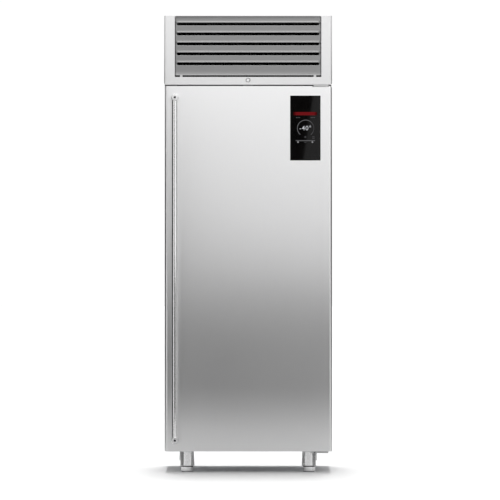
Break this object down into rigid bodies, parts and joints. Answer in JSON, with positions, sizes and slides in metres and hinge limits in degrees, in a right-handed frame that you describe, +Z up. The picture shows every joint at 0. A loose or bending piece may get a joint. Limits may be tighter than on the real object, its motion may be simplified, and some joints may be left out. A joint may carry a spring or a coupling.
{
  "type": "blast chiller",
  "caption": "Tall stainless steel blast chiller with a full-height hinged door, vertical bar handle, touch display, louvred fascia over the machine compartment and levelling legs.",
  "frame": {"origin": "on the floor, under the middle of the bounding box", "axes": "+Z up, the door faces -Y, +X to the right of someone facing the door, where the door is hinged"},
  "size_m": [0.78, 0.88, 2.12],
  "materials": {
    "stainless": "vertically brushed stainless steel, satin",
    "stainless_dull": "plain mill-finish stainless sheet",
    "zinc_sheet": "zinc-coated steel sheet, matt",
    "foam": "rigid foam, cream",
    "rubber_dark": "soft dark grey seal",
    "plastic_dark": "matt black plastic",
    "plastic_grey": "matt dark grey plastic",
    "black_glass": "black printed glass, high gloss",
    "board": "circuit board",
    "black_paint": "black enamel",
    "fins": "thin bare fins",
    "copper": "bare drawn copper",
    "screw_black": "blackened steel"
  },
  "bodies": {
    "cabinet": {"outer_shell": "stainless", "back_panel": "zinc_sheet", "base_panel": "zinc_sheet", "insulation": "foam", "inner_liner": "stainless", "breaker_frame": "plastic_grey", "leg_sleeves": "stainless", "drain_tube": "stainless_dull", "hinge_plate_upper": "stainless_dull", "hinge_plate_lower": "stainless_dull", "hinge_pins": "stainless_dull", "door_sensor": "plastic_dark", "rack_uprights": "stainless_dull", "tray_runners": "stainless_dull", "fan_panel": "stainless", "evaporator_fan_guards": "stainless_dull", "evaporator_fan_motors": "black_paint", "evaporator_coil": "fins", "drip_tray": "stainless_dull", "unit_base": "zinc_sheet", "housing_sides": "stainless", "housing_back": "zinc_sheet", "housing_top": "stainless", "flap_brackets": "zinc_sheet", "lock_strike": "zinc_sheet", "condenser_coil": "fins", "condenser_shroud": "zinc_sheet", "condenser_fan_motor": "black_paint", "compressor": "black_paint", "compressor_mounts": "rubber_dark", "liquid_receiver": "black_paint", "filter_drier": "copper", "discharge_line": "copper", "liquid_line": "copper", "suction_line": "copper", "control_box": "zinc_sheet", "cable_gland": "plastic_dark"},
    "door": {"door_skin": "stainless", "door_foam": "foam", "door_liner": "stainless", "door_gasket": "rubber_dark", "door_bushes": "plastic_dark", "display_housing": "plastic_dark", "display_glass": "black_glass", "display_module": "board", "handle_bar": "stainless", "handle_posts": "stainless", "handle_screws": "screw_black"},
    "fascia": {"fascia_frame": "stainless", "grille_panel": "stainless_dull", "lock_housing": "stainless"},
    "fascia_lock": {"lock_plug": "stainless_dull"},
    "foot_front_left": {"foot_front_left": "stainless"},
    "foot_front_right": {"foot_front_right": "stainless"},
    "foot_rear_left": {"foot_rear_left": "stainless"},
    "foot_rear_right": {"foot_rear_right": "stainless"},
    "evaporator_fan_1": {"evaporator_fan_1": "plastic_grey"},
    "evaporator_fan_2": {"evaporator_fan_2": "plastic_grey"},
    "evaporator_fan_3": {"evaporator_fan_3": "plastic_grey"},
    "condenser_fan": {"condenser_fan": "plastic_grey"}
  },
  "joints": [
    {"name": "door_hinge", "type": "hinge", "parent": "cabinet", "child": "door", "pos_m": [0.365, -0.358, 0.946], "axis": [0, 0, 1], "range_deg": [0, 110]},
    {"name": "fascia_hinge", "type": "hinge", "parent": "cabinet", "child": "fascia", "pos_m": [0, -0.318, 2.108], "axis": [-1, 0, 0], "range_deg": [0, 75]},
    {"name": "fascia_lock_turn", "type": "hinge", "parent": "fascia", "child": "fascia_lock", "pos_m": [0, -0.35, 1.8216], "axis": [0, 1, 0], "range_deg": [0, 90]},
    {"name": "foot_front_left_height", "type": "slide", "parent": "cabinet", "child": "foot_front_left", "axis": [0, 0, 1], "range_m": [-0.03, 0]},
    {"name": "foot_front_right_height", "type": "slide", "parent": "cabinet", "child": "foot_front_right", "axis": [0, 0, 1], "range_m": [-0.03, 0]},
    {"name": "foot_rear_left_height", "type": "slide", "parent": "cabinet", "child": "foot_rear_left", "axis": [0, 0, 1], "range_m": [-0.03, 0]},
    {"name": "foot_rear_right_height", "type": "slide", "parent": "cabinet", "child": "foot_rear_right", "axis": [0, 0, 1], "range_m": [-0.03, 0]},
    {"name": "evaporator_fan_1_spin", "type": "hinge", "parent": "cabinet", "child": "evaporator_fan_1", "pos_m": [0, 0.18, 0.46567], "axis": [0, 1, 0], "continuous": true},
    {"name": "evaporator_fan_2_spin", "type": "hinge", "parent": "cabinet", "child": "evaporator_fan_2", "pos_m": [0, 0.18, 0.937], "axis": [0, 1, 0], "continuous": true},
    {"name": "evaporator_fan_3_spin", "type": "hinge", "parent": "cabinet", "child": "evaporator_fan_3", "pos_m": [0, 0.18, 1.40833], "axis": [0, 1, 0], "continuous": true},
    {"name": "condenser_fan_spin", "type": "hinge", "parent": "cabinet", "child": "condenser_fan", "pos_m": [-0.07, -0.17, 1.937], "axis": [0, 1, 0], "continuous": true}
  ]
}
